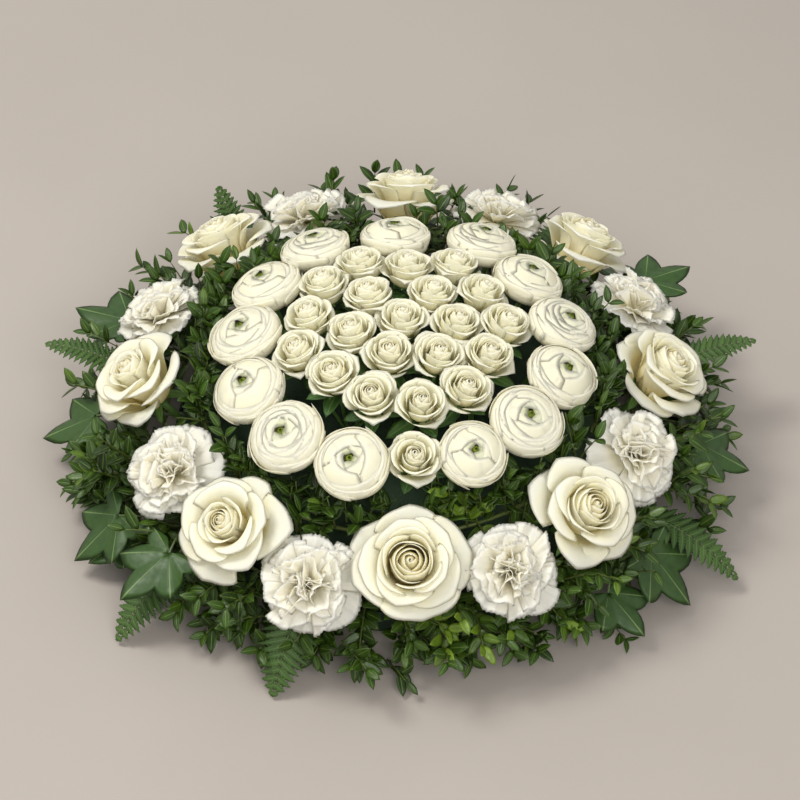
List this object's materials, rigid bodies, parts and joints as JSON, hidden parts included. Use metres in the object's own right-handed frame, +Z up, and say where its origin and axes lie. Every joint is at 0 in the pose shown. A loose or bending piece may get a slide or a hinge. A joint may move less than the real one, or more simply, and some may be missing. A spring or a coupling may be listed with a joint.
{
  "type": "funeral wreath",
  "caption": "Round domed funeral wreath of white roses, carnations, ranunculus and spray roses with boxwood, ivy and fern, on floral foam in a flat tray.",
  "frame": {"origin": "middle of the underside of the tray", "axes": "+Z up through the dome of flowers, -Y towards the viewer, +X to the viewer's right"},
  "size_m": [0.5609, 0.5228, 0.1632],
  "materials": {
    "tray": "dark green moulded plastic",
    "foam": "wet green floral foam",
    "rose_petal": "soft creamy white petals, warmer towards the heart",
    "carnation_petal": "pure white pleated petals with pinked edges",
    "ranunculus_petal": "thin satiny white petals round a green button",
    "spray_rose_petal": "cream petals, a little green at the edge of the outer ones",
    "boxwood_leaf": "glossy dark green leaves with a paler midrib",
    "ivy_leaf": "dark green leaves with pale veins",
    "fern_leaf": "mid green leathery fronds",
    "stem": "green stems and sepals"
  },
  "bodies": {
    "root": {"tray": "tray", "foam": "foam", "rose_1": "rose_petal", "rose_2": "rose_petal", "rose_3": "rose_petal", "rose_4": "rose_petal", "rose_5": "rose_petal", "rose_6": "rose_petal", "rose_7": "rose_petal", "rose_8": "rose_petal", "carnation_1": "carnation_petal", "carnation_2": "carnation_petal", "carnation_3": "carnation_petal", "carnation_4": "carnation_petal", "carnation_5": "carnation_petal", "carnation_6": "carnation_petal", "carnation_7": "carnation_petal", "carnation_8": "carnation_petal", "ranunculus_1": "ranunculus_petal", "ranunculus_2": "ranunculus_petal", "ranunculus_3": "ranunculus_petal", "ranunculus_4": "ranunculus_petal", "ranunculus_5": "ranunculus_petal", "ranunculus_6": "ranunculus_petal", "ranunculus_7": "ranunculus_petal", "ranunculus_8": "ranunculus_petal", "ranunculus_9": "ranunculus_petal", "ranunculus_10": "ranunculus_petal", "ranunculus_11": "ranunculus_petal", "ranunculus_12": "ranunculus_petal", "ranunculus_13": "ranunculus_petal", "spray_rose_1": "spray_rose_petal", "spray_rose_2": "spray_rose_petal", "spray_rose_3": "spray_rose_petal", "spray_rose_4": "spray_rose_petal", "spray_rose_5": "spray_rose_petal", "spray_rose_6": "spray_rose_petal", "boxwood_collar_1": "boxwood_leaf", "boxwood_collar_2": "boxwood_leaf", "boxwood_collar_3": "boxwood_leaf", "boxwood_collar_4": "boxwood_leaf", "boxwood_collar_5": "boxwood_leaf", "boxwood_collar_6": "boxwood_leaf", "boxwood_skirt_1": "boxwood_leaf", "boxwood_skirt_2": "boxwood_leaf", "boxwood_skirt_3": "boxwood_leaf", "boxwood_skirt_4": "boxwood_leaf", "boxwood_skirt_5": "boxwood_leaf", "boxwood_skirt_6": "boxwood_leaf", "ivy_trail_1": "ivy_leaf", "ivy_trail_2": "ivy_leaf", "ivy_trail_3": "ivy_leaf", "ivy_trail_4": "ivy_leaf", "fern_frond_1": "fern_leaf", "fern_frond_2": "fern_leaf", "fern_frond_3": "fern_leaf", "fern_frond_4": "fern_leaf", "fern_frond_5": "fern_leaf", "fern_frond_6": "fern_leaf", "fern_frond_7": "fern_leaf"}
  },
  "joints": []
}
